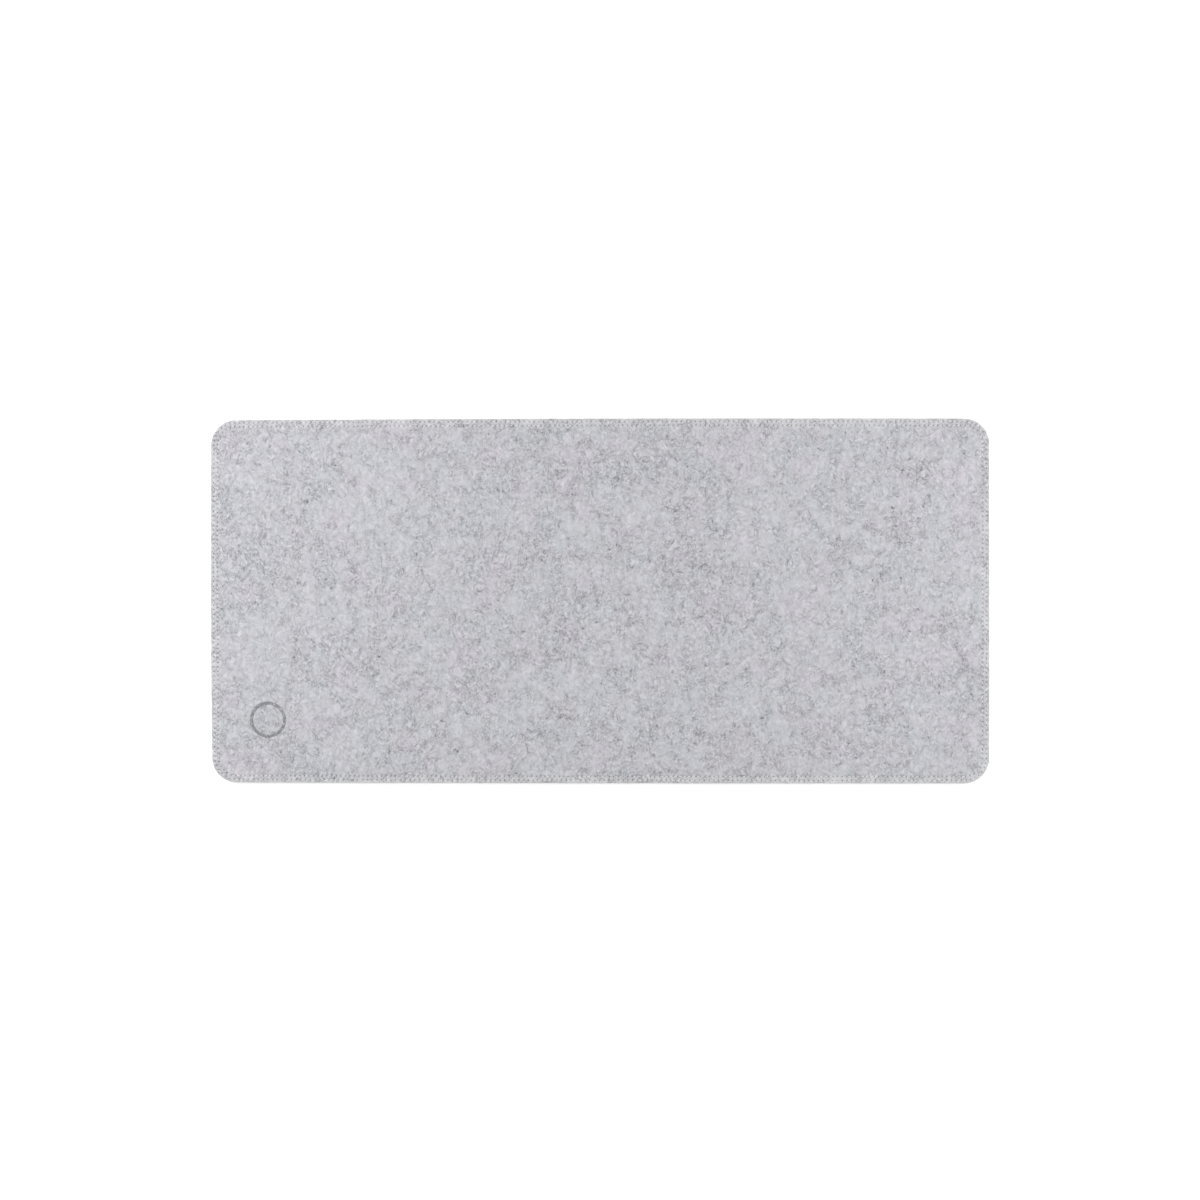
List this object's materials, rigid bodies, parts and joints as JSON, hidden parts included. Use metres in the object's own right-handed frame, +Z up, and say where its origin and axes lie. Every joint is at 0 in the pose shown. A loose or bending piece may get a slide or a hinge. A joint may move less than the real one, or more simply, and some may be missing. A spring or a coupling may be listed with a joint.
{
  "type": "desk mat",
  "caption": "Rectangular felt desk mat with rounded corners, a non-slip rubber base and a stitched border; protects a desk and carries a keyboard and mouse.",
  "frame": {"origin": "middle of the underside", "axes": "+X along the long side to the right, +Y along the short side away from the user, +Z up through the thickness"},
  "size_m": [0.64, 0.3, 0.004],
  "materials": {
    "melange_felt": "matte",
    "hot_melt_film": "satin",
    "base_rubber": "matte",
    "sewing_thread": "satin",
    "bobbin_thread": "satin",
    "transfer_print": "matte"
  },
  "bodies": {
    "root": {"felt_top": "melange_felt", "bonding_film": "hot_melt_film", "rubber_base": "base_rubber", "outer_needle_thread": "sewing_thread", "inner_needle_thread": "sewing_thread", "outer_bobbin_thread": "bobbin_thread", "inner_bobbin_thread": "bobbin_thread", "corner_mark": "transfer_print"}
  },
  "joints": []
}
